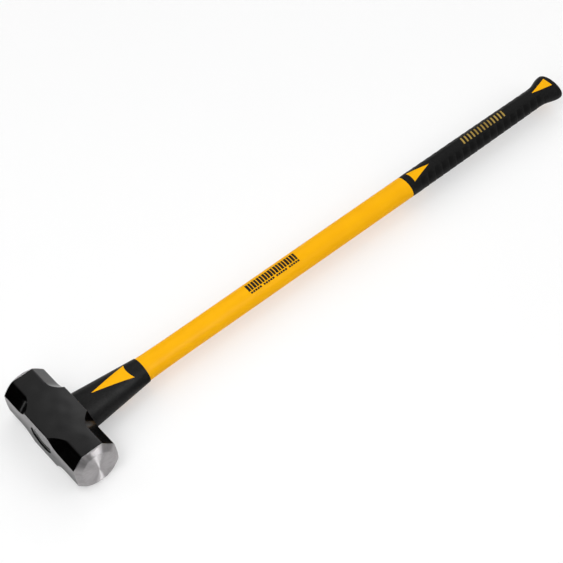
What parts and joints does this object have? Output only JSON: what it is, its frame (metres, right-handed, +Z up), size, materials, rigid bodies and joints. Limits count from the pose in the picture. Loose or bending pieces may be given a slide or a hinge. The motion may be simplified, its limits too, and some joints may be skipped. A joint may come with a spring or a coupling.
{
  "type": "sledgehammer",
  "caption": "Long-handled sledgehammer with an octagonal black steel head, a filled oval eye, an overstrike collar, a jacketed straight shaft and a flared rubber grip.",
  "frame": {"origin": "centre of the head's lower cheek, the flat the hammer lies on", "axes": "+X along the handle from the head to the butt, Y along the head from one striking face to the other, +Z up out of the upper cheek"},
  "size_m": [0.915, 0.176, 0.063],
  "materials": {
    "head_steel": "forged steel in satin black paint; the top face and both striking faces are ground bare",
    "fibre_rod": "pultruded glass fibre and resin, hidden inside",
    "eye_resin": "cast grey resin, slightly dished where it set",
    "dam_rubber": "plain rubber ring, hidden inside",
    "jacket_yellow": "moulded yellow plastic, satin",
    "collar_black": "moulded black rubber, satin",
    "grip_rubber": "moulded black rubber, satin, with shallow slanted ribs on its side",
    "inlay_yellow": "moulded yellow plastic, satin"
  },
  "bodies": {
    "root": {"hammer_head": "head_steel", "core_rod": "fibre_rod", "eye_epoxy": "eye_resin", "eye_dam": "dam_rubber", "shaft_jacket": "jacket_yellow", "overstrike_collar": "collar_black", "grip_sleeve": "grip_rubber", "collar_arrow_upper": "inlay_yellow", "collar_arrow_lower": "inlay_yellow", "grip_arrow_upper": "inlay_yellow", "grip_arrow_lower": "inlay_yellow", "butt_arrow_upper": "inlay_yellow", "butt_arrow_lower": "inlay_yellow", "grip_mark_upper": "inlay_yellow", "grip_mark_lower": "inlay_yellow"}
  },
  "joints": []
}
